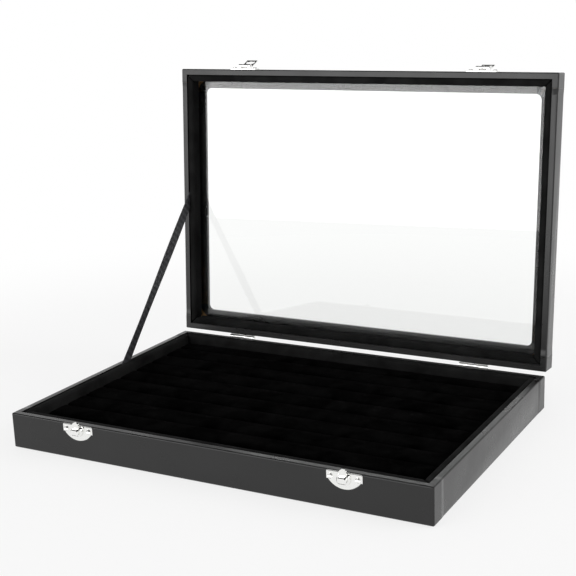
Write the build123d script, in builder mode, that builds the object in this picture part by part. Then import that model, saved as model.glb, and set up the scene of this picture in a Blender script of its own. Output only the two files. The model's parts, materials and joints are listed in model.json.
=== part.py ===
"""Ring display box: a wooden tray and glass lid wrapped in leatherette, with velvet inside.

Millimetres, +Z up. The origin is the centre of the underside. X runs along the box, the
latches are on the -Y side and the hinges at the back. The lid is worked out shut and is
swung open about its hinge pins before it is written, so that it stands as it rests.
"""
import os
from math import atan2, cos, degrees, hypot, radians, sin

from build123d import *

os.makedirs("parts", exist_ok=True)

# Overall sizes, over the leatherette
width = 350.0
depth = 240.0
base_height = 28.4
lid_height = 16.3
seam_gap = 0.3               # between the two rims when the lid is shut
open_angle = 94.3            # where the stay strap holds the lid

# Walls: a board with leatherette outside, over the rim and a little way down inside
wrap = 0.5                   # leatherette
board = 4.0                  # wall boards
turn_in = 9.0                # leatherette turned down inside the rim
lap = 12.0                   # front and back leatherette turned round the corners
lap_step = 0.25              # side leatherette lies this much inside the laps
lap_seam = 0.1               # between a lap and the side leatherette
corner_radius = 1.1          # upright corners
rim_radius = 1.0             # edge of the rim
foot_bevel = 0.6             # long edges away from the rim
fit = 0.1                    # between pieces that are glued or slipped together
past = 1.0                   # how far a cut runs past what it cuts

# Underside
cover = 0.6                  # sheet glued under the base
cover_inset = 2.5
floor = 3.0                  # floor board
under_flap = 14.0            # leatherette turned in under the base

# Velvet linings
lining = 6.0                 # thickness of a padded lining strip
rim_step = 0.3               # linings stop this much short of the rim
lining_round = 2.2           # top inner edge of a lining
lining_edge = 0.6            # its top outer edge

# Ring pad: velvet-covered foam bars on a card, with a slot between each two
card = 1.0
pad_top = 21.6
slot_rows = 9
end_bar = 16.1               # from a lining to the middle of the first slot
slot_gap = 1.6
bar_round = 1.4
bar_crown = 0.5

# Lid window
frame_border = 17.0          # width of the frame round the window
window_radius = 5.0
top_panel = 2.0              # board of the lid's top
window_flap = 8.0            # leatherette turned in behind the window's edge
glass = 1.5
glass_corner = 1.0

# Hinges at the back
hinge_offset = 112.5         # from the middle to each hinge
hinge_out = 2.0              # pin behind the back face
hinge_length = 25.0
leaf = 0.9
leaf_height = 11.0
leaf_corner = 1.0
knuckles = 3
knuckle_radius = 1.75
knuckle_gap = 0.2            # between knuckles
knuckle_room = 0.25          # round a turning knuckle
hinge_pin_radius = 0.9
pin_play = 0.05              # running clearance round every pin
pin_head = 0.4               # thickness of a pin's riveted head
pin_head_overhang = 0.35     # how much wider than the pin it is
leaf_screw_spacing = 16.0
leaf_screw_drop = 6.6        # from the pin to the screws

# Small round work is drawn with few flats, to keep the model light
head_sides = 12
shank_sides = 6
pin_sides = 12

# Screws
screw_head_radius = 1.9
screw_head = 1.0
screw_head_bevel = 0.4
screw_radius = 0.85
screw_length = 3.6           # under the head
screw_slot = 0.5
screw_slot_depth = 0.5

# Latches on the front
latch_offset = 111.0         # from the middle to each latch
plate = 0.8
plate_width = 27.0
plate_height = 12.4          # of the catch plate on the base
lid_plate_height = 12.0
plate_shoulder = 6.2         # straight part of a plate's ends
plate_notch = 1.4            # step from the end to where the round part starts
plate_corner = 1.0
plate_edge = 0.3
plate_gap = 0.3              # from a plate's straight edge to its rim
plate_screw_spacing = 20.6
plate_screw_drop = 4.0

# Catch: a low oval dome with a stud that the tab snaps over and a lug behind the tab
dome_width = 11.0
dome_height = 8.4
dome_rise = 2.0
dome_taper = 18.0
dome_edge = 0.7
oval_end = 0.2               # half of the straight left at each end of the dome and the stud
stud_width = 7.4
stud_height = 4.8
stud_rise = 2.6
stud_drop = 4.8              # from the base rim to the middle of the stud
stud_edge = 0.6
lug_width = 5.6
lug_corner = 2.2
lug_thickness = 1.5
lug_stand_off = 0.8          # from the plate to the back of the lug
lug_above = 2.4              # above the base rim

# Tab, hinged on the lid plate
pivot_out = 3.0              # pin in front of the lid's face
pivot_up = 4.7               # pin above the lid's rim
tab_pin_radius = 0.6
barrel_radius = 1.5
barrel_width = 6.6
ear_width = 2.2
ear_radius = 1.6
ear_root = 4.8               # width of an ear where it leaves the plate
ear_clear = 0.6              # how far that root stops short of the rim's side
ear_gap = 0.3                # between the barrel and each ear
tab = 0.8
tab_width = 10.6
tab_length = 15.0
tab_bow = 0.5                # how far the tab bulges
tab_bow_end = 2.0            # the bow ends this far above the tab's end
tab_lip = 1.4                # finger lip at the tab's end
tab_lip_radius = 2.24
tab_lip_turn = 62.0
tab_neck = 0.8               # length of the narrow neck under the barrel
tab_shoulder = 2.6           # from the barrel to the full width
tab_window_play = 0.4        # round the stud
tab_corner = 2.4
tab_turn = {"left": 156.0, "right": 166.0}   # from hooked over the stud to thrown back

# Stay strap on the left, tucked in between the leatherette and the linings
strap_width = 8.6
strap = 0.7
strap_room = 0.2             # round the strap in the recess behind a lining
strap_base_y = 20.0          # where it leaves the base rim
strap_lid_y = -0.4           # where it meets the lid's rim, lid shut
strap_tuck = 9.0             # length hidden at each end
pocket_room = 2.0            # from the tucked end to the sides of its recess

# Worked out from the sizes above
half_width = width / 2
half_depth = depth / 2
window_width = width - 2 * frame_border
window_depth = depth - 2 * frame_border
total_height = base_height + seam_gap + lid_height
board_x = half_width - lap_step - wrap       # outer faces of the boards
board_y = half_depth - wrap
bay_x = board_x - board                      # inner faces of the boards
bay_y = board_y - board
inside_x = bay_x - wrap                      # inner faces of the leatherette
inside_y = bay_y - wrap
lining_x = inside_x - fit                    # outer faces of the linings
lining_y = inside_y - fit
well_x = lining_x - lining                   # inner faces of the linings
well_y = lining_y - lining
slot_pitch = 2 * (well_y - end_bar) / (slot_rows - 1)
floor_low = cover + wrap
floor_top = floor_low + floor
glass_low = wrap + top_panel + wrap          # above the lid's top face, lid lying on it
hinge_y = half_depth + hinge_out
hinge_z = base_height + seam_gap / 2
lid_rim_z = base_height + seam_gap
mitre_depth = 2 * max(frame_border, under_flap)
strap_pocket = strap + 2 * strap_room
pivot_y = -half_depth - pivot_out
pivot_z = lid_rim_z + pivot_up

# Where things stand. The lid's box is drawn lying on its top face, rim up.
turns = {"front": 0, "right": 90, "back": 180, "left": 270}
lid_names = {"front": "back", "right": "right", "back": "front", "left": "left"}
hinge_line = Location((0, hinge_y, hinge_z))
swing = hinge_line * Location((0, 0, 0), (-open_angle, 0, 0)) * hinge_line.inverse()
turned_over = Location(Plane((0, 0, total_height), x_dir=(1, 0, 0), z_dir=(0, 0, -1)))
base_home = Location((0, 0, 0))
lid_home = swing * turned_over


def keep(part, name, home=base_home):
    """Stand a finished piece in its place, label it and write it."""
    placed = part.moved(home)
    placed.label = name
    export_step(placed, f"parts/{name}.step")


def wall_plane(side):
    """A level plane turned so that this wall stands on its -Y side."""
    turn = radians(turns[side])
    return Plane((0, 0, 0), x_dir=(cos(turn), sin(turn), 0), z_dir=(0, 0, 1))


def section_plane(side):
    """An upright plane across the middle of a wall: x is inwards from the centre, y is up."""
    level = wall_plane(side)
    return Plane((0, 0, 0), x_dir=level.y_dir, z_dir=level.x_dir)


def along(side):
    """True for the two long walls, which run the whole width."""
    return side in ("front", "back")


def mitre_sketch(side, corner, grow):
    """The ground of one wall's pieces, cut at 45 degrees from this corner of the box."""
    half_length, reach = corner if along(side) else corner[::-1]
    with BuildSketch(wall_plane(side)) as ground:
        inner = mitre_depth - reach
        Polygon(
            (-half_length, -reach), (half_length, -reach),
            (half_length - mitre_depth, inner), (mitre_depth - half_length, inner),
            align=None,
        )
        offset(amount=grow, kind=Kind.INTERSECTION)
    return ground.sketch


def lap_sketch(side):
    """The ground of one wall's leatherette: front and back are lapped round the corners."""
    strip_y = half_depth - lap / 2
    with BuildSketch() as ground:
        add(mitre_sketch(side, (half_width, half_depth), -lap_seam / 2))
        if along(side):
            with Locations((0, -strip_y if side == "front" else strip_y)):
                Rectangle(width + 2 * past, lap)
        else:
            with Locations((0, -strip_y), (0, strip_y)):
                Rectangle(width + 2 * past, lap + 2 * lap_seam, mode=Mode.SUBTRACT)
    return ground.sketch


# Leatherette


def block(outer_x, low, high):
    """The outside of one half of the box, its long edges rounded."""
    with BuildPart() as solid:
        with BuildSketch(Plane.XY.offset(low)):
            RectangleRounded(2 * outer_x, depth, corner_radius)
        extrude(amount=high - low)
        chamfer(solid.edges().group_by(Axis.Z)[0], foot_bevel)
        fillet(solid.edges().group_by(Axis.Z)[-1], rim_radius)
    return solid.part


def base_leatherette(side):
    """One of the four leatherette pieces of the base: a C round its board."""
    outer_x = half_width if along(side) else half_width - lap_step
    with BuildPart() as skin:
        add(block(outer_x, cover, base_height))
        with BuildSketch(Plane.XY.offset(cover)):
            Rectangle(width - 2 * under_flap, depth - 2 * under_flap)
        extrude(amount=wrap, mode=Mode.SUBTRACT)
        with BuildSketch(Plane.XY.offset(floor_low)):
            Rectangle(2 * board_x, 2 * board_y)
        extrude(amount=base_height - wrap - floor_low, mode=Mode.SUBTRACT)
        with BuildSketch(Plane.XY.offset(base_height - turn_in)):
            Rectangle(2 * bay_x, 2 * bay_y)
            Rectangle(2 * inside_x, 2 * inside_y, mode=Mode.SUBTRACT)
        extrude(amount=turn_in)
        with BuildSketch(Plane.XY.offset(base_height - turn_in)):
            Rectangle(2 * inside_x, 2 * inside_y)
        extrude(amount=turn_in, mode=Mode.SUBTRACT)
        add(lap_sketch(side))
        extrude(amount=base_height + past, mode=Mode.INTERSECT)
        drill(base_screws.get(side, []))
    return skin.part


def lid_leatherette(side):
    """One leatherette piece of the lid: outside, over the rim, over the top, into the window."""
    outer_x = half_width if along(side) else half_width - lap_step
    with BuildPart() as skin:
        add(block(outer_x, 0.0, lid_height))
        with BuildSketch(Plane.XY.offset(wrap)):
            Rectangle(2 * board_x, 2 * board_y)
            RectangleRounded(
                window_width + 2 * wrap, window_depth + 2 * wrap, window_radius + wrap, mode=Mode.SUBTRACT
            )
        extrude(amount=top_panel, mode=Mode.SUBTRACT)
        with BuildSketch(Plane.XY.offset(wrap + top_panel)):
            Rectangle(2 * board_x, 2 * board_y)
            RectangleRounded(
                window_width + 2 * window_flap,
                window_depth + 2 * window_flap,
                window_radius + window_flap,
                mode=Mode.SUBTRACT,
            )
        extrude(amount=wrap, mode=Mode.SUBTRACT)
        with BuildSketch(Plane.XY.offset(glass_low)):
            Rectangle(2 * board_x, 2 * board_y)
        extrude(amount=lid_height - wrap - glass_low, mode=Mode.SUBTRACT)
        with BuildSketch():
            RectangleRounded(window_width, window_depth, window_radius)
        extrude(amount=glass_low, mode=Mode.SUBTRACT)
        with BuildSketch(Plane.XY.offset(lid_height - turn_in)):
            Rectangle(2 * bay_x, 2 * bay_y)
            Rectangle(2 * inside_x, 2 * inside_y, mode=Mode.SUBTRACT)
        extrude(amount=turn_in)
        with BuildSketch(Plane.XY.offset(lid_height - turn_in)):
            Rectangle(2 * inside_x, 2 * inside_y)
        extrude(amount=turn_in, mode=Mode.SUBTRACT)
        add(lap_sketch(side))
        extrude(amount=lid_height + past, mode=Mode.INTERSECT)
        drill(lid_screws.get(side, []))
    return skin.part


# Boards, linings, floor and pad


def wall_board(side, low, high, holes):
    """One wall board. The long ones run the whole width and the short ones fit between."""
    outer = board_y if along(side) else board_x
    length = 2 * board_x if along(side) else 2 * (bay_y - fit)
    with BuildPart() as plank:
        with BuildSketch(section_plane(side)) as profile:
            with Locations((-outer, low)):
                Rectangle(board, high - low, align=(Align.MIN, Align.MIN))
            fillet(profile.vertices().group_by(Axis.Y)[-1].sort_by(Axis.X)[0], rim_radius - wrap)
        extrude(amount=length / 2, both=True)
        drill(holes)
    return plank.part


def lining_strip(side, low, high, pocket=None):
    """A padded velvet lining strip, mitred at its ends. The strap is tucked in behind one."""
    outer = lining_y if along(side) else lining_x
    with BuildPart() as strip:
        with BuildSketch(section_plane(side)) as profile:
            with Locations((-outer, low)):
                Rectangle(lining, high - low, align=(Align.MIN, Align.MIN))
            top = profile.vertices().group_by(Axis.Y)[-1].sort_by(Axis.X)
            fillet(top[-1], lining_round)
            chamfer(profile.vertices().group_by(Axis.Y)[-1].sort_by(Axis.X)[0], lining_edge)
        extrude(amount=half_width, both=True)
        add(mitre_sketch(side, (lining_x, lining_y), -fit / 2))
        extrude(amount=high + past, mode=Mode.INTERSECT)
        if pocket:
            start_y, end_y, deep = pocket
            with BuildSketch(Plane((-outer, start_y, high - deep), x_dir=(0, 1, 0), z_dir=(1, 0, 0))):
                Rectangle(end_y - start_y, deep, align=(Align.MIN, Align.MIN))
            extrude(amount=strap_pocket, mode=Mode.SUBTRACT)
    return strip.part


def floor_pieces():
    """Cover sheet, floor board and the card that the pad is glued to."""
    with BuildPart() as sheet:
        with BuildSketch():
            Rectangle(width - 2 * cover_inset, depth - 2 * cover_inset)
        extrude(amount=cover)
    keep(sheet.part, "bottom_cover")
    with BuildPart() as bottom:
        with BuildSketch(Plane.XY.offset(floor_low)):
            Rectangle(2 * (bay_x - fit), 2 * (bay_y - fit))
        extrude(amount=floor)
    keep(bottom.part, "base_floor_board")
    with BuildPart() as backing:
        with BuildSketch(Plane.XY.offset(floor_top)):
            Rectangle(2 * (well_x - fit), 2 * (well_y - fit))
        extrude(amount=card)
    keep(backing.part, "pad_card")


def pad_bars():
    """Foam bars in velvet along the box. The outer two fill what the slots leave."""
    low = floor_top + card
    slots = [slot_pitch * (i - (slot_rows - 1) / 2) for i in range(slot_rows)]
    edges = [-(well_y - 2 * fit) - slot_gap / 2] + slots + [(well_y - 2 * fit) + slot_gap / 2]
    for number, (near, far) in enumerate(zip(edges, edges[1:]), start=1):
        near += slot_gap / 2
        far -= slot_gap / 2
        with BuildPart() as bar:
            with BuildSketch(Plane.YZ) as profile:
                with BuildLine():
                    shoulder = pad_top - bar_crown
                    Polyline((near, shoulder), (near, low), (far, low), (far, shoulder))
                    ThreePointArc((far, shoulder), ((near + far) / 2, pad_top), (near, shoulder))
                make_face()
                fillet(profile.vertices().group_by(Axis.Y)[-1], bar_round)
            extrude(amount=well_x - 2 * fit, both=True)
        keep(bar.part, f"pad_bar_{number:02d}")


def lid_top():
    """The board of the lid's top with its window, and the glass behind it."""
    with BuildPart() as panel:
        with BuildSketch(Plane.XY.offset(wrap)):
            Rectangle(2 * board_x, 2 * board_y)
            RectangleRounded(
                window_width + 2 * wrap, window_depth + 2 * wrap, window_radius + wrap, mode=Mode.SUBTRACT
            )
        extrude(amount=top_panel)
    keep(panel.part, "lid_top_panel", lid_home)
    with BuildPart() as pane:
        with BuildSketch(Plane.XY.offset(glass_low)):
            Rectangle(2 * (bay_x - 2 * fit), 2 * (bay_y - 2 * fit))
        extrude(amount=glass)
        chamfer(pane.edges().filter_by(Axis.Z), glass_corner)
    keep(pane.part, "lid_glass", lid_home)


# Screws. Each is a place on a face: its point and the way out of the wood.


def spots(offset_x, spacing, height, y, outwards):
    """Places for the screws of both hinges or both latches."""
    return [
        Plane((centre + step, y, height), x_dir=(1, 0, 0), z_dir=(0, outwards, 0))
        for centre in (-offset_x, offset_x)
        for step in (-spacing / 2, spacing / 2)
    ]


lid_hinge_z = total_height - (hinge_z + leaf_screw_drop)       # in the lid lying on its top face
lid_plate_z = total_height - (lid_rim_z + plate_gap + plate_screw_drop)
leaf_screws_base = spots(hinge_offset, leaf_screw_spacing, hinge_z - leaf_screw_drop, half_depth + leaf, 1)
leaf_screws_lid = spots(hinge_offset, leaf_screw_spacing, lid_hinge_z, -half_depth - leaf, -1)
plate_screws_base = spots(
    latch_offset, plate_screw_spacing, base_height - plate_gap - plate_screw_drop, -half_depth - plate, -1
)
plate_screws_lid = spots(latch_offset, plate_screw_spacing, lid_plate_z, half_depth + plate, 1)
base_screws = {"front": plate_screws_base, "back": leaf_screws_base}
lid_screws = {"front": leaf_screws_lid, "back": plate_screws_lid}   # lid lying on its top face


def drill(places):
    """Cut the screws' holes in the piece being made."""
    for place in places:
        with BuildPart(mode=Mode.PRIVATE) as hole:
            with BuildSketch(place):
                RegularPolygon(screw_radius + pin_play, shank_sides)
            extrude(amount=-screw_length - fit)
        add(hole.part, mode=Mode.SUBTRACT)


def screws(places):
    """A set of slotted pan-head screws, each a solid of its own."""
    with BuildPart() as group:
        for place in places:
            with BuildPart(mode=Mode.PRIVATE) as screw:
                with BuildSketch(place):
                    RegularPolygon(screw_head_radius, head_sides)
                extrude(amount=screw_head)
                top = screw.faces().sort_by(lambda face: place.to_local_coords(face.center()).Z)[-1]
                chamfer(top.edges(), screw_head_bevel)
                with BuildSketch(place):
                    RegularPolygon(screw_radius, shank_sides)
                extrude(amount=-screw_length)
                with BuildSketch(place.offset(screw_head)):
                    Rectangle(2 * screw_head_radius, screw_slot)
                extrude(amount=-screw_slot_depth, mode=Mode.SUBTRACT)
            add(screw.part)
    return group.part


# Hinges


def knuckle_span(number):
    """From and to, along the hinge, of one knuckle."""
    pitch = hinge_length / knuckles
    start = -hinge_length / 2 + number * pitch
    return start + knuckle_gap / 2, start + pitch - knuckle_gap / 2


def hinge_leaf(centre, up, own):
    """A butt hinge's leaf on the back face, drawn with the lid shut. up is 1 for the lid's."""
    across = Plane((centre, hinge_y, hinge_z), x_dir=(0, 1, 0), z_dir=(1, 0, 0))
    with BuildPart() as piece:
        back_face = Plane((centre, half_depth, hinge_z), x_dir=(1, 0, 0), z_dir=(0, -1, 0))
        with BuildSketch(back_face) as outline:
            with Locations((0, up * leaf_height / 2)):
                Rectangle(hinge_length, leaf_height)
            rows = outline.vertices().group_by(Axis.Y)
            chamfer(rows[-1] if up > 0 else rows[0], leaf_corner)
        extrude(amount=-leaf)
        for number in range(knuckles):
            start, end = knuckle_span(number)
            room = 0 if number in own else knuckle_room
            with BuildSketch(across.offset(start - room)):
                Circle(knuckle_radius + room)
            extrude(amount=end - start + 2 * room, mode=Mode.ADD if number in own else Mode.SUBTRACT)
        with BuildSketch(across):
            RegularPolygon(hinge_pin_radius + pin_play, pin_sides)
        extrude(amount=hinge_length, both=True, mode=Mode.SUBTRACT)
        for step in (-leaf_screw_spacing / 2, leaf_screw_spacing / 2):
            spot = (centre + step, half_depth, hinge_z + up * leaf_screw_drop)
            with BuildSketch(Plane(spot, x_dir=(1, 0, 0), z_dir=(0, 1, 0))):
                RegularPolygon(screw_radius + fit, shank_sides)
            extrude(amount=leaf, mode=Mode.SUBTRACT)
    return piece.part


def headed_pin(centre, y, z, radius, length):
    """A pin along X with a riveted head at each end."""
    with BuildPart() as pin:
        with BuildSketch(Plane((centre, y, z), z_dir=(1, 0, 0))):
            RegularPolygon(radius, pin_sides)
        extrude(amount=length / 2, both=True)
        for way in (-1, 1):
            with BuildSketch(Plane((centre + way * length / 2, y, z), z_dir=(way, 0, 0))):
                RegularPolygon(radius + pin_head_overhang, pin_sides)
            extrude(amount=pin_head)
    return pin.part


# Latches


def half_moon(face, height, up):
    """A latch plate: straight along the rim, round away from it, with two screw holes."""
    end = plate_width / 2
    round_end = end - plate_notch
    with BuildPart() as piece:
        with BuildSketch(face) as outline:
            with BuildLine():
                Polyline(
                    (-round_end, up * plate_shoulder), (-end, up * plate_shoulder), (-end, 0),
                    (end, 0), (end, up * plate_shoulder), (round_end, up * plate_shoulder),
                )
                ThreePointArc(
                    (round_end, up * plate_shoulder), (0, up * height), (-round_end, up * plate_shoulder)
                )
            make_face()
            rows = outline.vertices().group_by(Axis.Y)
            fillet(rows[0] if up > 0 else rows[-1], plate_corner)
        extrude(amount=plate)
        front = piece.faces().sort_by(lambda side: face.to_local_coords(side.center()).Z)[-1]
        chamfer(front.edges(), plate_edge)
        with BuildSketch(face):
            with Locations((0, up * plate_screw_drop)):
                with GridLocations(plate_screw_spacing, 0, 2, 1):
                    RegularPolygon(screw_radius + fit, shank_sides)
        extrude(amount=plate, mode=Mode.SUBTRACT)
    return piece.part


def catch_plate(centre):
    """The base's half of a latch: plate, dome, stud and lug in one stamping."""
    face = Plane((centre, -half_depth, base_height - plate_gap), x_dir=(1, 0, 0), z_dir=(0, -1, 0))
    stud_y = plate_gap - stud_drop
    dome_face = plate + dome_rise
    with BuildPart() as catch:
        add(half_moon(face, plate_height, -1))
        with BuildSketch(face.offset(plate)):
            with Locations((0, stud_y)):
                RectangleRounded(dome_width, dome_height, dome_height / 2 - oval_end)
        extrude(amount=dome_rise, taper=dome_taper)
        rise = catch.faces().sort_by(lambda side: face.to_local_coords(side.center()).Z)[-1]
        chamfer(rise.edges(), dome_edge)
        with BuildSketch(face.offset(dome_face)):
            with Locations((0, stud_y)):
                RectangleRounded(stud_width, stud_height, stud_height / 2 - oval_end)
        extrude(amount=stud_rise)
        tip = catch.faces().sort_by(lambda side: face.to_local_coords(side.center()).Z)[-1]
        chamfer(tip.edges(), stud_edge)
        with BuildSketch(face.offset(plate + lug_stand_off)) as lug:
            with Locations((0, stud_y)):
                Rectangle(lug_width, plate_gap + lug_above - stud_y, align=(Align.CENTER, Align.MIN))
            fillet(lug.vertices().group_by(Axis.Y)[-1], lug_corner)
        extrude(amount=lug_thickness)
    return catch.part


def lid_latch_plate(centre):
    """The lid's half of a latch: plate with two ears for the tab's pin. Drawn lid shut."""
    face = Plane((centre, -half_depth, lid_rim_z + plate_gap), x_dir=(1, 0, 0), z_dir=(0, -1, 0))
    with BuildPart() as piece:
        add(half_moon(face, lid_plate_height, 1))
        for way in (-1, 1):
            middle = centre + way * (barrel_width / 2 + ear_gap + ear_width / 2)
            with BuildSketch(Plane((middle, pivot_y, pivot_z), x_dir=(0, 1, 0), z_dir=(1, 0, 0))):
                Circle(ear_radius)
                root = pivot_out - plate / 2
                low = ear_clear - ear_root / 2
                Polygon((0, -ear_radius), (0, ear_radius), (root, ear_root / 2), (root, low), align=None)
                RegularPolygon(tab_pin_radius + pin_play, pin_sides, mode=Mode.SUBTRACT)
            extrude(amount=ear_width / 2, both=True)
    return piece.part


def latch_tab(centre):
    """The tab, hooked over the stud: a bowed strip with a window, rolled round its pin."""
    arm = barrel_radius - tab / 2
    stud_z = base_height - stud_drop
    with BuildPart() as piece:
        with BuildLine(Plane((centre, pivot_y, pivot_z), x_dir=(0, 1, 0), z_dir=(1, 0, 0))) as run:
            bowed = ThreePointArc(
                (-arm, 0), (-arm - tab_bow, -tab_length / 2), (-arm, tab_bow_end - tab_length)
            )
            JernArc(bowed @ 1, bowed % 1, tab_lip_radius, -tab_lip_turn)
        with BuildSketch(Plane((centre, pivot_y - arm, pivot_z), x_dir=(1, 0, 0), z_dir=(0, 0, -1))):
            Rectangle(tab_width, tab)
        sweep(path=run.wires()[0])
        with BuildSketch(Plane((centre, pivot_y, pivot_z), x_dir=(1, 0, 0), z_dir=(0, -1, 0))) as outline:
            with BuildLine():
                neck_end = -barrel_radius - tab_neck
                shoulder_end = -barrel_radius - tab_shoulder
                Polyline(
                    (-barrel_width / 2, past), (-barrel_width / 2, neck_end),
                    (-tab_width / 2, shoulder_end), (-tab_width / 2, -tab_length - tab_lip),
                    (tab_width / 2, -tab_length - tab_lip), (tab_width / 2, shoulder_end),
                    (barrel_width / 2, neck_end), (barrel_width / 2, past), close=True,
                )
            make_face()
            fillet(outline.vertices().sort_by(Axis.Y)[:2], tab_corner)
            with Locations((0, stud_z - pivot_z)):
                RectangleRounded(
                    stud_width + 2 * tab_window_play,
                    stud_height + 2 * tab_window_play,
                    stud_height / 2,
                    mode=Mode.SUBTRACT,
                )
        extrude(amount=4 * tab_lip, both=True, mode=Mode.INTERSECT)
        with BuildSketch(Plane((centre, pivot_y, pivot_z), z_dir=(1, 0, 0))):
            Circle(barrel_radius)
        extrude(amount=barrel_width / 2, both=True)
        with BuildSketch(Plane((centre, pivot_y, pivot_z), z_dir=(1, 0, 0))):
            RegularPolygon(tab_pin_radius + pin_play, pin_sides)
        extrude(amount=barrel_width, both=True, mode=Mode.SUBTRACT)
    return piece.part


# Stay strap


def strap_line():
    """Where the taut strap leaves the base rim and meets the lid's rim, in the YZ plane."""
    lid_point = swing * Location((0, strap_lid_y, lid_rim_z))
    return (strap_base_y, base_height), (lid_point.position.Y, lid_point.position.Z)


def strap_tilt():
    """The taut strap's angle to the base rim, in degrees."""
    (y0, z0), (y1, z1) = strap_line()
    return degrees(atan2(z1 - z0, y1 - y0))


def tuck_pocket(rim_y, angle, way):
    """Recess for a strap end that goes in at this angle to the rim: from y, to y and depth.

    way is the Y direction in which the tucked end leans, 1 or -1.
    """
    slant = radians(angle)
    mouth = strap_width / 2 / sin(slant) + pocket_room
    reach = strap_tuck * cos(slant) + strap_width / 2 * sin(slant) + pocket_room
    deep = strap_tuck * sin(slant) + strap_width / 2 * cos(slant) + pocket_room
    start_y, end_y = sorted((rim_y - way * mouth, rim_y + way * max(mouth, reach)))
    return start_y, end_y, deep


def stay_strap():
    """A flat ribbon pulled tight, both ends tucked behind the linings."""
    (y0, z0), (y1, z1) = strap_line()
    length = hypot(y1 - y0, z1 - z0)
    tilt = strap_tilt()
    inner = -(lining_x - strap_pocket / 2 - strap / 2)
    with BuildPart() as ribbon:
        with BuildSketch(Plane((inner, (y0 + y1) / 2, (z0 + z1) / 2), x_dir=(0, 1, 0), z_dir=(1, 0, 0))):
            Rectangle(length + 2 * strap_tuck, strap_width, rotation=tilt)
        extrude(amount=-strap)
    print(f"strap: {length:.1f} mm between the rims at {tilt:.1f} degrees, inner face x {inner:.2f}")
    return ribbon.part


# Build everything

for wall in turns:
    keep(base_leatherette(wall), f"base_leatherette_{wall}")
    board_z = floor_low, base_height - wrap
    keep(wall_board(wall, *board_z, base_screws.get(wall, [])), f"base_board_{wall}")
    strap_behind = tuck_pocket(strap_base_y, strap_tilt(), -1) if wall == "left" else None
    keep(lining_strip(wall, floor_top, base_height - rim_step, strap_behind), f"base_lining_{wall}")

for wall in turns:
    name = lid_names[wall]
    keep(lid_leatherette(wall), f"lid_leatherette_{name}", lid_home)
    board_z = wrap + top_panel, lid_height - wrap
    keep(wall_board(wall, *board_z, lid_screws.get(wall, [])), f"lid_board_{name}", lid_home)
    strap_behind = tuck_pocket(-strap_lid_y, 180 - open_angle - strap_tilt(), 1) if wall == "left" else None
    lining_low = glass_low + glass + fit
    keep(lining_strip(wall, lining_low, lid_height - rim_step, strap_behind), f"lid_lining_{name}", lid_home)

floor_pieces()
pad_bars()
lid_top()

keep(screws(leaf_screws_base), "base_hinge_screws")
keep(screws(plate_screws_base), "catch_screws")
keep(screws(leaf_screws_lid), "lid_hinge_screws", lid_home)
keep(screws(plate_screws_lid), "lid_latch_screws", lid_home)

middle_knuckles = [number for number in range(knuckles) if number % 2]
outer_knuckles = [number for number in range(knuckles) if number % 2 == 0]
for hand, sign in (("left", -1), ("right", 1)):
    hinge_x = sign * hinge_offset
    keep(hinge_leaf(hinge_x, -1, outer_knuckles), f"base_hinge_leaf_{hand}")
    keep(hinge_leaf(hinge_x, 1, middle_knuckles), f"lid_hinge_leaf_{hand}", swing)
    keep(headed_pin(hinge_x, hinge_y, hinge_z, hinge_pin_radius, hinge_length), f"hinge_pin_{hand}")

    latch_x = sign * latch_offset
    pivot = Location((0, pivot_y, pivot_z))
    thrown_back = pivot * Location((0, 0, 0), (-tab_turn[hand], 0, 0)) * pivot.inverse()
    pin_length = barrel_width + 2 * (ear_gap + ear_width)
    keep(catch_plate(latch_x), f"catch_plate_{hand}")
    keep(lid_latch_plate(latch_x), f"lid_latch_plate_{hand}", swing)
    keep(headed_pin(latch_x, pivot_y, pivot_z, tab_pin_radius, pin_length), f"latch_pin_{hand}", swing)
    keep(latch_tab(latch_x), f"latch_tab_{hand}", swing * thrown_back)

keep(stay_strap(), "stay_strap")

pivot_open = swing * Location((0, pivot_y, pivot_z))
print("lid hinge at y", hinge_y, "z", hinge_z)
print("tab pivots at y", round(pivot_open.position.Y, 4), "z", round(pivot_open.position.Z, 4))
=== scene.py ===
# %% [markdown]
# # A ring display box
#
# The real box is a shallow wooden tray with a matching glass-topped lid. Both are wrapped in
# black PU leatherette and lined with velvet, and two bright latches and two small hinges hold
# them together. The wood, the glass, the latches and the hinges come in as finished parts that
# already have their real size. This script gives them their finish, and models what is soft:
# the velvet pad, the velvet linings, the wrapped skins and the ribbon that holds the lid.

# %% Load the rigid parts
import json
from math import cos, degrees, pi, radians, sin

import bpy
from mathutils import Matrix, Vector, noise


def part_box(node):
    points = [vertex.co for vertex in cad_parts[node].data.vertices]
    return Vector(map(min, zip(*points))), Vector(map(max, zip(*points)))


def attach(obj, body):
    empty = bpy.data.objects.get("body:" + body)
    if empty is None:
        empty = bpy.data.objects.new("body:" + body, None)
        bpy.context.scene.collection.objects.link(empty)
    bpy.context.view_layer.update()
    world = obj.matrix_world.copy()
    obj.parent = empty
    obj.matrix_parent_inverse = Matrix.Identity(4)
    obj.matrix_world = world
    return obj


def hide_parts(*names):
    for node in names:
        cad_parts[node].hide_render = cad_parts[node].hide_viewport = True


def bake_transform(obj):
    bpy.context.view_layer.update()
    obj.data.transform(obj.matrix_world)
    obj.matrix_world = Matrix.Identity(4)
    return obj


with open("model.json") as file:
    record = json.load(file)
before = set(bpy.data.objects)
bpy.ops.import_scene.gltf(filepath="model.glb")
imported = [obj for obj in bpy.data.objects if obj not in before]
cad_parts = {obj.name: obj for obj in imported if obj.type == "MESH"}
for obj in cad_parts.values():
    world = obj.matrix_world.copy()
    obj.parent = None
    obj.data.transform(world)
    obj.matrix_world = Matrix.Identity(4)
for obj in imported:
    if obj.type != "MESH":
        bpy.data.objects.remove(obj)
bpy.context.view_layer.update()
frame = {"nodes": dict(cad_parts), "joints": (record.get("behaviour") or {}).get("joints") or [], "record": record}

MM = 0.001
nodes = frame["nodes"]
slots = {row["node"]: row["material_slot"] for row in frame["record"]["subparts"]}

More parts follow.
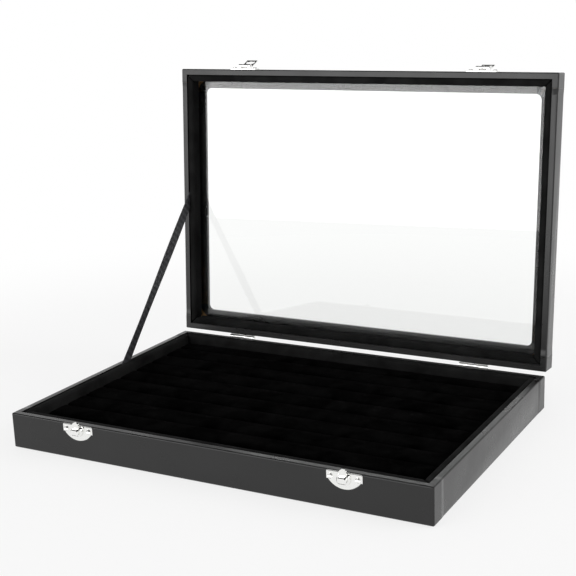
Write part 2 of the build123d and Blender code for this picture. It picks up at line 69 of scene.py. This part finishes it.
# %% [markdown]
# ## The photographer's place
#
# The camera stands to the right of the box and a little above it. Its place was found by
# matching the corners of the tray and the lid to the picture. The picture is a crop, so its
# optical centre is not its middle: the lens is shifted a little instead of turned.

# %% Camera
picture_width = 576
focal_length_px = 1187.4
optical_centre_px = (330.0, 300.0)
camera_place = Vector((440.88, -773.12, 343.22)) * MM
camera_azimuth = radians(27.295)
camera_elevation = radians(15.038)
camera_roll = radians(-1.593)

backwards = Vector((
    sin(camera_azimuth) * cos(camera_elevation),
    -cos(camera_azimuth) * cos(camera_elevation),
    sin(camera_elevation),
))
level_right = (-backwards).cross(Vector((0, 0, 1))).normalized()
level_up = level_right.cross(-backwards)
right = level_right * cos(camera_roll) + level_up * sin(camera_roll)
up = level_up * cos(camera_roll) - level_right * sin(camera_roll)

bpy.ops.object.camera_add()
camera = bpy.context.object
camera_turn = Matrix((right, up, backwards)).transposed().to_4x4()
camera.matrix_world = Matrix.Translation(camera_place) @ camera_turn
camera.data.sensor_width = 36
camera.data.lens = focal_length_px * camera.data.sensor_width / picture_width
camera.data.shift_x = (picture_width / 2 - optical_centre_px[0]) / picture_width
camera.data.shift_y = (optical_centre_px[1] - picture_width / 2) / picture_width
camera.data.clip_start = 0.01
bpy.context.scene.camera = camera
print(f"lens {camera.data.lens:.1f} mm, shift {camera.data.shift_x:.4f}, {camera.data.shift_y:.4f}")

# %% [markdown]
# ## Helpers for finishes
#
# Colours are written as they look on a screen and turned to the linear values that light
# works in. One helper adds a node, sets it and links it, so that each finish below reads as
# a short list of what the surface is made of.


# %% Colour and node helpers
def linear(colour):
    """A screen colour such as "#1A1A1C" as linear RGBA."""
    channels = [int(colour[i:i + 2], 16) / 255 for i in (1, 3, 5)]
    return [c / 12.92 if c <= 0.04045 else ((c + 0.055) / 1.055) ** 2.4 for c in channels] + [1.0]


def add(material, kind, inputs, **settings):
    """Add a node: settings are its own choices, inputs its sockets, each a value or a link."""
    node = material.node_tree.nodes.new(kind)
    for name, value in settings.items():
        setattr(node, name, value)
    for name, value in inputs.items():
        if isinstance(value, bpy.types.NodeSocket):
            material.node_tree.links.new(value, node.inputs[name])
        else:
            node.inputs[name].default_value = value
    return node


def finish(name, **sockets):
    """A new material with its shader's own sockets set, and the shader."""
    material = bpy.data.materials.new(name)
    material.use_nodes = True
    shader = material.node_tree.nodes["Principled BSDF"]
    for socket, value in sockets.items():
        shader.inputs[socket.replace("_", " ")].default_value = value
    return material, shader


def link(material, output, shader, socket):
    """Run a pattern into one of the shader's sockets."""
    material.node_tree.links.new(output, shader.inputs[socket])


def per_metre(size_mm):
    """A texture scale that gives a pattern this many millimetres wide."""
    return 1 / (size_mm * MM)


# %% [markdown]
# ## PU leatherette
#
# A film of black polyurethane on a fabric backing, pressed with a fine pebble grain and glued
# round the boards. The film is darker than it looks: what the eye sees is mostly the white
# room in its satin surface, stronger where it is seen at a slant. The grain's pebbles are
# about half a millimetre wide, too fine to show, so they are drawn at 0.9 mm. The glue
# underneath leaves broad soft waves. Near the corners the side film climbs over the laps of
# the front and back pieces in a soft slope that catches the light. The slope is modelled
# further down, and a bump here makes it catch a little more.

# %% Leatherette
pebble_mm = 0.9
pebble_depth = 0.08 * MM
wave_mm = 14.0
wave_depth = 0.25 * MM
wear_mm = 38.0
lap_edge = 108 * MM          # from the middle of a side to where the corner laps begin
lap_slope = 6 * MM           # the film bridges down over this length beside a lap
lap_shading = 0.45 * MM      # the height of the bump on that slope
behind_tray = 120.5 * MM     # film further back than this belongs to the open lid
lid_middle_z = 151.5 * MM    # the middle of the open lid's sides
leatherette, shader = finish(
    "pu_leatherette", Roughness=0.3, IOR=1.5, Sheen_Weight=0.22, Sheen_Roughness=0.22,
)
place = add(leatherette, "ShaderNodeTexCoord", {})
pebbles = add(
    leatherette, "ShaderNodeTexVoronoi",
    {"Vector": place.outputs["Object"], "Scale": per_metre(pebble_mm)},
    feature="SMOOTH_F1",
)
waves = add(
    leatherette, "ShaderNodeTexNoise",
    {"Vector": place.outputs["Object"], "Scale": per_metre(wave_mm), "Detail": 2.0},
)
worn = add(
    leatherette, "ShaderNodeTexNoise",
    {"Vector": place.outputs["Object"], "Scale": per_metre(wear_mm), "Detail": 4.0, "Roughness": 0.6},
)
tone = add(
    leatherette, "ShaderNodeMix",
    {"Factor": worn.outputs["Fac"], "A": linear("#0C0C0C"), "B": linear("#131313")},
    data_type="RGBA",
)
gloss = add(
    leatherette, "ShaderNodeMapRange",
    {"Value": worn.outputs["Fac"], "From Min": 0.3, "From Max": 0.7, "To Min": 0.25, "To Max": 0.34},
)
spot = add(leatherette, "ShaderNodeSeparateXYZ", {"Vector": place.outputs["Object"]})
on_lid = add(
    leatherette, "ShaderNodeMath", {0: spot.outputs["Y"], 1: behind_tray}, operation="GREATER_THAN",
)
up_lid = add(
    leatherette, "ShaderNodeMath", {0: spot.outputs["Z"], 1: lid_middle_z}, operation="SUBTRACT",
)
along_side = add(
    leatherette, "ShaderNodeMix",
    {"Factor": on_lid.outputs["Value"], "A": spot.outputs["Y"], "B": up_lid.outputs["Value"]},
)
from_middle = add(
    leatherette, "ShaderNodeMath", {0: along_side.outputs["Result"]}, operation="ABSOLUTE",
)
lapped = add(
    leatherette, "ShaderNodeMapRange",
    {"Value": from_middle.outputs["Value"], "From Min": lap_edge - lap_slope, "From Max": lap_edge},
    interpolation_type="SMOOTHSTEP",
)
lap = add(
    leatherette, "ShaderNodeBump",
    {"Height": lapped.outputs["Result"], "Strength": 1.0, "Distance": lap_shading},
)
glue = add(
    leatherette, "ShaderNodeBump",
    {
        "Height": waves.outputs["Fac"], "Strength": 0.25, "Distance": wave_depth,
        "Normal": lap.outputs["Normal"],
    },
)
grain = add(
    leatherette, "ShaderNodeBump",
    {
        "Height": pebbles.outputs["Distance"], "Strength": 0.35, "Distance": pebble_depth,
        "Normal": glue.outputs["Normal"],
    },
)
link(leatherette, tone.outputs["Result"], shader, "Base Color")
link(leatherette, gloss.outputs["Result"], shader, "Roughness")
link(leatherette, grain.outputs["Normal"], shader, "Normal")

# %% [markdown]
# ## Velvet
#
# Velvet is a woven ground with a standing pile. Light goes down between the fibres and is
# lost, so it is the blackest thing here, and only fibre tips seen from the side catch a little
# light. That is what the sheen gives. The pile leans this way and that in patches as broad as
# a thumb, which makes velvet look stroked.


# %% Velvet
def velvet_finish(name, deep, stroked, sheen):
    """Velvet between two tones: where the pile stands and where it has been stroked flat."""
    stroke_mm = 22.0
    pile_mm = 0.7
    pile_depth = 0.2 * MM
    material, shader = finish(
        name, Roughness=0.95, Specular_IOR_Level=0.0, Sheen_Weight=sheen, Sheen_Roughness=0.35,
        Sheen_Tint=linear("#B9B9B9"),
    )
    place = add(material, "ShaderNodeTexCoord", {})
    strokes = add(
        material, "ShaderNodeTexNoise",
        {
            "Vector": place.outputs["Object"], "Scale": per_metre(stroke_mm),
            "Detail": 3.0, "Distortion": 0.6,
        },
    )
    pile = add(
        material, "ShaderNodeTexNoise",
        {
            "Vector": place.outputs["Object"], "Scale": per_metre(pile_mm),
            "Detail": 3.0, "Roughness": 0.7,
        },
    )
    ramp = add(
        material, "ShaderNodeMapRange",
        {"Value": strokes.outputs["Fac"], "From Min": 0.35, "From Max": 0.65},
    )
    tone = add(
        material, "ShaderNodeMix",
        {"Factor": ramp.outputs["Result"], "A": linear(deep), "B": linear(stroked)},
        data_type="RGBA",
    )
    fibres = add(
        material, "ShaderNodeBump",
        {"Height": pile.outputs["Fac"], "Strength": 0.5, "Distance": pile_depth},
    )
    link(material, tone.outputs["Result"], shader, "Base Color")
    link(material, fibres.outputs["Normal"], shader, "Normal")
    return material


pad_velvet = velvet_finish("pad_velvet", "#020202", "#0A0A0A", 0.01)
lining_velvet = velvet_finish("lining_velvet", "#171717", "#222222", 0.05)

# %% [markdown]
# ## Nickel-plated steel
#
# The latches, hinges and screws are pressed from thin steel, tumbled and plated bright. The
# plating is a mirror that is a little uneven: the steel under it was never polished flat, so
# the reflections ripple and parts of it are softer.

# %% Nickel plate
ripple_mm = 2.5
ripple_depth = 0.1 * MM
nickel_plate, shader = finish("nickel_plated_steel", Base_Color=linear("#F3F3F1"), Metallic=1.0)
place = add(nickel_plate, "ShaderNodeTexCoord", {})
tumbled = add(
    nickel_plate, "ShaderNodeTexNoise",
    {"Vector": place.outputs["Object"], "Scale": per_metre(ripple_mm), "Detail": 2.0},
)
polish = add(
    nickel_plate, "ShaderNodeMapRange",
    {"Value": tumbled.outputs["Fac"], "From Min": 0.3, "From Max": 0.7, "To Min": 0.06, "To Max": 0.16},
)
ripple = add(
    nickel_plate, "ShaderNodeBump",
    {"Height": tumbled.outputs["Fac"], "Strength": 0.25, "Distance": ripple_depth},
)
link(nickel_plate, polish.outputs["Result"], shader, "Roughness")
link(nickel_plate, ripple.outputs["Normal"], shader, "Normal")

# %% [markdown]
# ## Float glass
#
# Ordinary 1.5 mm float glass: clear, faintly green, and as smooth as it was poured. Wiping
# leaves a faint haze in broad strokes.

# %% Glass
wipe_mm = 60.0
clear_glass, shader = finish(
    "float_glass", Base_Color=linear("#FBFCFB"), Transmission_Weight=1.0, IOR=1.5, Roughness=0.0,
)
place = add(clear_glass, "ShaderNodeTexCoord", {})
wiped = add(
    clear_glass, "ShaderNodeTexNoise",
    {"Vector": place.outputs["Object"], "Scale": per_metre(wipe_mm), "Detail": 3.0},
)
haze = add(
    clear_glass, "ShaderNodeMapRange",
    {"Value": wiped.outputs["Fac"], "From Min": 0.45, "From Max": 0.75, "To Min": 0.0, "To Max": 0.012},
)
link(clear_glass, haze.outputs["Result"], shader, "Roughness")

# %% [markdown]
# ## What is hidden: fibreboard and card
#
# The walls, floor and lid frame are medium-density fibreboard, pressed from wood dust: pale
# brown, matt, with fine dark specks. The pad is glued on grey board made from waste paper.
# They only show where the box is taken apart, and have their own finish all the same.


# %% Board finishes
def pressed_board(name, ground, specks, speck_mm):
    """A matt pressed board of one colour with specks of another."""
    speck_depth = 0.1 * MM
    material, shader = finish(name, Roughness=0.85)
    place = add(material, "ShaderNodeTexCoord", {})
    dust = add(
        material, "ShaderNodeTexNoise",
        {
            "Vector": place.outputs["Object"], "Scale": per_metre(speck_mm),
            "Detail": 4.0, "Roughness": 0.7,
        },
    )
    tone = add(
        material, "ShaderNodeMix",
        {"Factor": dust.outputs["Fac"], "A": linear(ground), "B": linear(specks)},
        data_type="RGBA",
    )
    surface = add(
        material, "ShaderNodeBump",
        {"Height": dust.outputs["Fac"], "Strength": 0.3, "Distance": speck_depth},
    )
    link(material, tone.outputs["Result"], shader, "Base Color")
    link(material, surface.outputs["Normal"], shader, "Normal")
    return material


fibreboard = pressed_board("fibreboard", "#B08D62", "#7E5F3E", 1.2)
grey_board = pressed_board("grey_board", "#A39D92", "#807A70", 1.6)

# %% [markdown]
# ## Woven ribbon
#
# The stay is a flat black ribbon, woven of polyester with a firm edge. Its cross threads are
# about 0.4 mm apart, too fine to show, and are drawn as soft bands about 5 mm apart. The
# pattern follows the ribbon's own UV map, so it bends with it. The wave texture runs 20
# radians to a unit, which its scale allows for.

# %% Ribbon
band_mm = 5.03
weave_depth = 0.15 * MM
ribbon_finish, shader = finish(
    "woven_ribbon", Roughness=0.6, Sheen_Weight=0.15, Sheen_Roughness=0.4, Sheen_Tint=linear("#C0C0C4"),
)
place = add(ribbon_finish, "ShaderNodeTexCoord", {})
threads = add(
    ribbon_finish, "ShaderNodeTexWave",
    {"Vector": place.outputs["UV"], "Scale": 2 * pi / 20 * per_metre(band_mm), "Distortion": 0.4},
    bands_direction="Y",
)
tone = add(
    ribbon_finish, "ShaderNodeMix",
    {"Factor": threads.outputs["Fac"], "A": linear("#1B1B1D"), "B": linear("#3A3A3E")},
    data_type="RGBA",
)
weave = add(
    ribbon_finish, "ShaderNodeBump",
    {"Height": threads.outputs["Fac"], "Strength": 0.4, "Distance": weave_depth},
)
link(ribbon_finish, tone.outputs["Result"], shader, "Base Color")
link(ribbon_finish, weave.outputs["Normal"], shader, "Normal")

# %% [markdown]
# ## Finishes on the rigid parts
#
# Every rigid part names a slot, which says what it is made of. One table from slot to finish
# dresses them all, also those that stay out of sight until the box is taken apart.

# %% Give every rigid part its finish
finishes = {
    "leatherette": leatherette,
    "lining_velvet": lining_velvet,
    "pad_velvet": pad_velvet,
    "fibreboard": fibreboard,
    "card": grey_board,
    "clear_glass": clear_glass,
    "nickel_plate": nickel_plate,
    "strap_ribbon": ribbon_finish,
}
for name, part in nodes.items():
    part.data.materials.clear()
    part.data.materials.append(finishes[slots[name]])
print(f"{len(finishes)} finishes")

# %% [markdown]
# ## Helpers for modelling
#
# Pieces are modelled by hand, so to say: a primitive, then edit-mode tools on the faces that
# are picked by their place. Everything is deselected first, because the rigid parts come in
# selected and a tool works on all that is selected.


# %% Modelling helpers
smooth_angle = radians(40)   # faces that meet more sharply than this keep their edge
slices_across = 4            # slices over a bar's width, and up a bar or a lining


def only(piece):
    """Make this piece the only one selected."""
    if bpy.context.object and bpy.context.object.mode != "OBJECT":
        bpy.ops.object.mode_set(mode="OBJECT")
    bpy.ops.object.select_all(action="DESELECT")
    piece.select_set(True)
    bpy.context.view_layer.objects.active = piece


def soft_block(name, low, high):
    """A closed block between two corners, its place in its mesh."""
    bpy.ops.object.select_all(action="DESELECT")
    bpy.ops.mesh.primitive_cube_add(size=1, location=(low + high) / 2, scale=high - low)
    piece = bpy.context.object
    piece.name = piece.data.name = name
    bpy.ops.object.transform_apply(location=True, rotation=True, scale=True)
    return piece


def cut_across(piece, axis, spacing):
    """Cut a piece into slices along one axis, so that it can bend and swell."""
    low = min(v.co[axis] for v in piece.data.vertices)
    high = max(v.co[axis] for v in piece.data.vertices)
    count = max(1, round((high - low) / spacing))
    normal = Vector((0, 0, 0))
    normal[axis] = 1
    only(piece)
    bpy.ops.object.mode_set(mode="EDIT")
    for step in range(1, count):
        point = normal * (low + (high - low) * step / count)
        bpy.ops.mesh.select_all(action="SELECT")
        bpy.ops.mesh.bisect(plane_co=point, plane_no=normal)
    bpy.ops.object.mode_set(mode="OBJECT")


def modify(piece, kind, **settings):
    """Add a modifier, set it and apply it."""
    only(piece)
    modifier = piece.modifiers.new(kind.title(), kind)
    for name, value in settings.items():
        setattr(modifier, name, value)
    bpy.ops.object.modifier_apply(modifier=modifier.name)


def round_edges(piece, width):
    """Round the square edges of a block, and leave the flat slices between them alone."""
    modify(piece, "BEVEL", width=width, segments=4, limit_method="ANGLE", angle_limit=radians(60))


def dress(piece, material, slot, *stands_for):
    """Give a piece its finish, and hide the rigid parts that it stands for. The slot is not used."""
    piece.data.materials.clear()
    piece.data.materials.append(material)
    only(piece)
    bpy.ops.object.shade_smooth_by_angle(angle=smooth_angle)
    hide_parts(*stands_for)


# %% [markdown]
# ## The ring pad
#
# The pad is a row of foam bars, each wrapped in velvet and pushed against the next, with a
# slot between each two. A bar is a block that is sliced along its length, rounded at its
# long top edges and crowned, as foam is under a stretched cloth. Small slow swells keep it
# from looking machined.

# %% Pad bars
bar_shoulder = 2.6 * MM
bar_crown = 0.6 * MM
bar_swell = 0.22 * MM
bar_slice = 7 * MM
bar_swells_along = 28        # slow swells in a metre, along a bar and up it
bar_swells_up = 40
bar_seed_step = 7.3          # far enough for each bar to swell in its own way


def pad_bar(number):
    """One velvet bar in the place of its rigid stand-in."""
    name = f"pad_bar_{number:02d}"
    low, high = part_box(name)
    bar = soft_block(f"velvet_bar_{number:02d}", low, high - Vector((0, 0, bar_crown)))
    cut_across(bar, 0, bar_slice)
    cut_across(bar, 1, (high.y - low.y) / slices_across)
    cut_across(bar, 2, (high.z - low.z) / slices_across)
    round_edges(bar, bar_shoulder)
    middle = (low + high) / 2
    half = (high - low) / 2
    for vertex in bar.data.vertices:
        point = vertex.co
        across = (point.y - middle.y) / half.y
        along = (point.x - middle.x) / half.x
        height = (point.z - low.z) / (high.z - low.z)
        crown = (1 - across ** 2) * (1 - along ** 8)
        spot = point.x * bar_swells_along, number * bar_seed_step, point.z * bar_swells_up
        swell = noise.noise(Vector(spot))
        point.z += bar_crown * crown * height + bar_swell * swell * crown * height
        point.y -= 0.5 * bar_swell * (1 + swell) * across * height
    dress(bar, pad_velvet, "pad_velvet", name)
    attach(bar, "base")
    return bar


bar_count = sum(name.startswith("pad_bar") for name in nodes)
bars = [pad_bar(number) for number in range(1, bar_count + 1)]
print(f"{len(bars)} bars, {sum(len(bar.data.polygons) for bar in bars)} faces")

# %% [markdown]
# ## The velvet linings
#
# Eight padded strips stand inside the walls, four in the tray and four in the lid, mitred
# where they meet. Each is modelled at the front wall of a box that lies flat, and is then
# turned to its own wall. The lid's are turned over and swung open with the lid. At the left
# the ribbon is tucked in behind the lining, which gives way to it.

# %% Linings
tray_low, tray_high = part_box("base_lining_front")
wall_low, wall_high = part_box("base_lining_left")
lining_thickness = 6.0 * MM
lining_round = 2.0 * MM
lining_slice = 6 * MM
lining_swell = 0.25 * MM
lining_swells_along = 32     # slow swells in a metre, along a strip and up it
lining_swells_up = 50
lining_seed_step = 1.7
velvet_face = 0.9            # the share of the thickness past which the velvet face lies
mitre_gap = 0.05 * MM
dent_depth = 1.1 * MM
dent_half_width = 13 * MM
tray_dent = -17 * MM         # from the middle of the left strip to where the ribbon goes in
lid_dent = -4 * MM
reach = {"front": -tray_low.y, "back": -tray_low.y, "left": -wall_low.x, "right": -wall_low.x}
half_run = {"front": -wall_low.x, "back": -wall_low.x, "left": -tray_low.y, "right": -tray_low.y}
turns = {"front": 0, "right": 90, "back": 180, "left": 270}
closed_height = 45.0 * MM
open_angle = radians(94.3)   # from shut to where the ribbon holds the lid
lid_joint = next(joint for joint in frame["joints"] if joint["name"] == "lid_hinge")
hinge = Vector(lid_joint["pos_m"])
swung_open = Matrix.Translation(hinge) @ Matrix.Rotation(-open_angle, 4, "X") @ Matrix.Translation(-hinge)
turned_over = Matrix.Translation((0, 0, closed_height)) @ Matrix.Rotation(pi, 4, "X")


def lining(half, wall, low_z, high_z, dent_at=None):
    """One padded strip at the front of a flat box, before it is turned to its wall."""
    outer = reach[wall]
    run = half_run[wall]
    strip = soft_block(
        f"velvet_lining_{half}_{wall}",
        Vector((-run, -outer, low_z)), Vector((run, lining_thickness - outer, high_z)),
    )
    cut_across(strip, 0, lining_slice)
    cut_across(strip, 1, lining_thickness / 2)
    cut_across(strip, 2, (high_z - low_z) / slices_across)
    round_edges(strip, lining_round)
    seed = sum(ord(letter) for letter in strip.name)
    for vertex in strip.data.vertices:
        point = vertex.co
        inwards = point.y + outer
        spot = point.x * lining_swells_along, seed * lining_seed_step, point.z * lining_swells_up
        swell = noise.noise(Vector(spot))
        if inwards > velvet_face * lining_thickness:
            point.y -= lining_swell * (0.5 + 0.5 * swell)
        dented = dent_at is not None and abs(point.x - dent_at) < dent_half_width
        if dented and inwards < dent_depth:
            point.y = dent_depth - outer
        point.x *= (run - inwards - mitre_gap) / run
    return strip


base_z = tray_low.z, tray_high.z
lid_z = 4.6 * MM, 16.0 * MM   # while the lid lies flat on its top
opposite = {"front": "back", "right": "right", "back": "front", "left": "left"}
for wall, turn in turns.items():
    to_wall = Matrix.Rotation(radians(turn), 4, "Z")
    strip = lining("base", wall, *base_z, dent_at=tray_dent if wall == "left" else None)
    strip.data.transform(to_wall)
    dress(strip, lining_velvet, "lining_velvet", f"base_lining_{wall}")
    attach(strip, "base")
    strip = lining("lid", wall, *lid_z, dent_at=lid_dent if wall == "left" else None)
    strip.data.transform(swung_open @ turned_over @ to_wall)
    dress(strip, lining_velvet, "lining_velvet", f"lid_lining_{opposite[wall]}")
    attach(strip, "lid")

# %% [markdown]
# ## The side skins
#
# On the left and right walls the film doesn't end square against the corner laps. It bridges
# down beside them in a soft slope. The four side skins are copies of the rigid ones, sliced
# beside each lap and drawn out there until they are flush with it.

# %% Side skins
skin_face = 174.75 * MM      # from the middle of the box to a side skin's face
lap_step = 0.25 * MM
slope_slices = 6
same_place = 0.001 * MM      # corners nearer than this are one corner
face_tolerance = 0.05 * MM


def side_skin(half, wall, flat):
    """A side skin with its soft slopes. flat turns it to where its half lies flat, rim up."""
    name = f"{half}_leatherette_{wall}"
    skin = nodes[name].copy()
    skin.data = nodes[name].data.copy()
    bpy.context.collection.objects.link(skin)
    skin.name = skin.data.name = f"wrapped_{half}_{wall}"
    skin.data.transform(flat)
    only(skin)
    bpy.ops.object.mode_set(mode="EDIT")
    bpy.ops.mesh.select_all(action="SELECT")
    bpy.ops.mesh.remove_doubles(threshold=same_place)
    for side in (-1, 1):
        for number in range(slope_slices):
            cut = side * (lap_edge - lap_slope * (number + 0.5) / slope_slices)
            bpy.ops.mesh.select_all(action="SELECT")
            bpy.ops.mesh.bisect(plane_co=(0, cut, 0), plane_no=(0, 1, 0))
    bpy.ops.object.mode_set(mode="OBJECT")
    for vertex in skin.data.vertices:
        point = vertex.co
        slope = min(1.0, max(0.0, (abs(point.y) - lap_edge + lap_slope) / lap_slope))
        if abs(point.x) > skin_face - face_tolerance:
            point.x += lap_step * slope * slope * (3 - 2 * slope) * (1 if point.x > 0 else -1)
    skin.data.transform(flat.inverted())
    dress(skin, leatherette, "leatherette", name)
    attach(skin, half)
    return skin


flat_ways = {"base": Matrix.Identity(4), "lid": (swung_open @ turned_over).inverted()}
skins = [side_skin(half, wall, flat) for half, flat in flat_ways.items() for wall in ("left", "right")]
print(f"{len(skins)} side skins, {sum(len(skin.data.polygons) for skin in skins)} faces")

# %% [markdown]
# ## The stay ribbon
#
# A flat ribbon, pulled tight between the tray's rim and the lid's, with a hint of a twist.
# Both ends are tucked behind the linings. It has to fold when the lid is shut, but it is
# modelled only as it lies with the lid open.

# %% Stay ribbon
ribbon_width = 8.6 * MM
ribbon_thickness = 0.6 * MM
ribbon_slice = 3 * MM
ribbon_strips = 8
ribbon_twist = radians(7)
firm_edge = 0.5              # how much thicker the woven edges are
ribbon_tuck = 9 * MM
ribbon_x = -169.1 * MM
tray_end = Vector((ribbon_x, 20.0 * MM, 28.4 * MM))
lid_end = Vector((ribbon_x, 131.33 * MM, 150.59 * MM))
free_length = (lid_end - tray_end).length
slope = (lid_end - tray_end).angle(Vector((0, 1, 0)))
half_length = free_length / 2 + ribbon_tuck

ribbon = soft_block(
    "stay_ribbon",
    Vector((-ribbon_thickness / 2, -half_length, -ribbon_width / 2)),
    Vector((ribbon_thickness / 2, half_length, ribbon_width / 2)),
)
cut_across(ribbon, 1, ribbon_slice)
cut_across(ribbon, 2, ribbon_width / ribbon_strips)
threads_map = ribbon.data.uv_layers.active or ribbon.data.uv_layers.new(name="UVMap")
for loop in ribbon.data.loops:
    point = ribbon.data.vertices[loop.vertex_index].co
    threads_map.data[loop.index].uv = (point.z, point.y)
for vertex in ribbon.data.vertices:
    point = vertex.co
    along = min(1.0, abs(point.y) / (free_length / 2))
    edge = abs(point.z) / (ribbon_width / 2)
    point.x *= 1 + firm_edge * edge ** 6
    twist = ribbon_twist * sin(pi * (1 - along)) * (1 if point.y > 0 else -1)
    x, z = point.x, point.z
    point.x = x * cos(twist) - z * sin(twist)
    point.z = x * sin(twist) + z * cos(twist)
ribbon.data.transform(Matrix.Translation((tray_end + lid_end) / 2) @ Matrix.Rotation(slope, 4, "X"))
dress(ribbon, ribbon_finish, "strap_ribbon", "stay_strap")
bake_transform(ribbon)
print(f"ribbon {free_length / MM:.1f} mm at {degrees(slope):.1f} degrees")

# %% [markdown]
# ## The floor
#
# A sheet of white paper, 14 m across. The camera, the glass and the metal see it nearly white,
# and the part of its own shade that is left near the box is the box's soft shadow.

# %% Floor
floor_size = 14
paper_fibre_mm = 1.5
paper_depth = 0.1 * MM
shadow_left = 0.78           # how much of the white covers the floor near the box
shadow_near = 0.30           # metres from the middle of the box, and fading out by
shadow_far = 0.75


def seen_straight(material, ray):
    """1 where the camera looks, straight or through the glass."""
    return add(
        material, "ShaderNodeMath",
        {0: ray.outputs["Is Camera Ray"], 1: ray.outputs["Is Transmission Ray"]}, operation="MAXIMUM",
    ).outputs["Value"]


def looked_at(material):
    """1 where the camera looks, straight or by way of glass or metal."""
    ray = add(material, "ShaderNodeLightPath", {})
    return add(
        material, "ShaderNodeMath",
        {0: seen_straight(material, ray), 1: ray.outputs["Is Glossy Ray"]}, operation="MAXIMUM",
    ).outputs["Value"]


bpy.ops.object.select_all(action="DESELECT")
bpy.ops.mesh.primitive_plane_add(size=floor_size, location=(0, 0, 0))
floor = bpy.context.object
floor.name = "floor"
paper, shader = finish(
    "seamless_paper", Base_Color=linear("#FAFAFA"), Roughness=0.9, Specular_IOR_Level=0.1,
)
place = add(paper, "ShaderNodeTexCoord", {})
fibre = add(
    paper, "ShaderNodeTexNoise",
    {"Vector": place.outputs["Object"], "Scale": per_metre(paper_fibre_mm)},
)
paper_grain = add(
    paper, "ShaderNodeBump",
    {"Height": fibre.outputs["Fac"], "Strength": 0.02, "Distance": paper_depth},
)
link(paper, paper_grain.outputs["Normal"], shader, "Normal")
away = add(paper, "ShaderNodeVectorMath", {"Vector": place.outputs["Object"]}, operation="LENGTH")
beyond = add(
    paper, "ShaderNodeMapRange",
    {"Value": away.outputs["Value"], "From Min": shadow_near, "From Max": shadow_far},
    interpolation_type="SMOOTHSTEP",
)
white = add(paper, "ShaderNodeEmission", {"Color": linear("#FFFFFF"), "Strength": 1.0})
keep_shadow = add(
    paper, "ShaderNodeMapRange",
    {"Value": beyond.outputs["Result"], "To Min": shadow_left, "To Max": 1.0},
)
shown = add(
    paper, "ShaderNodeMath",
    {0: looked_at(paper), 1: keep_shadow.outputs["Result"]}, operation="MULTIPLY",
)
surface = add(
    paper, "ShaderNodeMixShader",
    {"Fac": shown.outputs["Value"], 1: shader.outputs["BSDF"], 2: white.outputs["Emission"]},
)
link(paper, surface.outputs["Shader"], paper.node_tree.nodes["Material Output"], "Surface")
floor.data.materials.append(paper)

# %% [markdown]
# ## The white room
#
# A plain white room whose light falls off towards the ceiling. The camera sees it white all
# over, also through the glass. In the film, the glass and the plating the ceiling is mirrored
# much darker, which gives the bright plating its dark accents.

# %% World
world = bpy.data.worlds.new("white_room")
bpy.context.scene.world = world
world.use_nodes = True
room = world.node_tree.nodes["Background"]
direction = add(world, "ShaderNodeTexCoord", {})
heading = add(world, "ShaderNodeSeparateXYZ", {"Vector": direction.outputs["Generated"]})
height = add(
    world, "ShaderNodeMapRange",
    {"Value": heading.outputs["Z"], "From Min": 0.05, "From Max": 0.95},
    interpolation_type="SMOOTHSTEP",
)
room_tone = add(
    world, "ShaderNodeMix",
    {"Factor": height.outputs["Result"], "A": linear("#FFFFFF"), "B": linear("#8A8A8A")},
    data_type="RGBA",
)
overhead = add(
    world, "ShaderNodeMapRange",
    {"Value": heading.outputs["Z"], "From Min": 0.30, "From Max": 0.60},
    interpolation_type="SMOOTHSTEP",
)
mirrored_tone = add(
    world, "ShaderNodeMix",
    {"Factor": overhead.outputs["Result"], "A": linear("#FFFFFF"), "B": linear("#2E2E2E")},
    data_type="RGBA",
)
ray = add(world, "ShaderNodeLightPath", {})
lit_tone = add(
    world, "ShaderNodeMix",
    {
        "Factor": ray.outputs["Is Glossy Ray"],
        "A": room_tone.outputs["Result"],
        "B": mirrored_tone.outputs["Result"],
    },
    data_type="RGBA",
)
view_tone = add(
    world, "ShaderNodeMix",
    {"Factor": seen_straight(world, ray), "A": lit_tone.outputs["Result"], "B": linear("#FFFFFF")},
    data_type="RGBA",
)
link(world, view_tone.outputs["Result"], room, "Color")
room.inputs["Strength"].default_value = 1.0

# %% [markdown]
# ## The lamps
#
# A square key light stands behind the right side, a weak one hangs above, and a broad low one
# in front at the left lifts the front wall. All three are large, so that their shadows are
# soft.


# %% Lamps
def lamp(name, place, target, size, watts):
    """A square soft lamp at a place in metres, aimed at a target."""
    bpy.ops.object.light_add(type="AREA", location=place)
    light = bpy.context.object
    light.name = name
    light.data.size = size
    light.data.energy = watts
    light.rotation_euler = (Vector(place) - Vector(target)).to_track_quat("Z", "Y").to_euler()


aim = (0, 0, 0.08)
lamp("key", (1.6, 0.5, 0.9), aim, 0.9, 12)
lamp("top", (-0.2, -0.2, 1.5), aim, 1.2, 2)
lamp("low_front", (-0.9, -1.8, 0.35), aim, 1.6, 20)

bpy.context.scene.view_settings.view_transform = "Standard"
